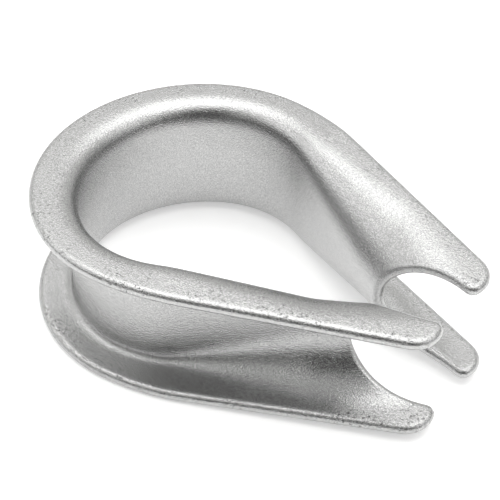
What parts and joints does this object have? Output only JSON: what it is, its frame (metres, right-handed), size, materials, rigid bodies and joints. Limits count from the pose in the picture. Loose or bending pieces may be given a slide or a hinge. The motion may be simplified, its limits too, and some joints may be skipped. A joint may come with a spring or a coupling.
{
  "type": "wire rope thimble",
  "caption": "Teardrop rope thimble in stainless steel: a grooved strip bent round an eye, with open, scooped leg ends.",
  "frame": {"origin": "centre of the crown seat, mid-way between the two flanges", "axes": "+X from the crown towards the open tips, +Z along the pin that bears in the eye"},
  "size_m": [0.0467, 0.0336, 0.0138],
  "materials": {
    "steel": "satin, tumbled"
  },
  "bodies": {
    "root": {"thimble": "steel"}
  },
  "joints": []
}
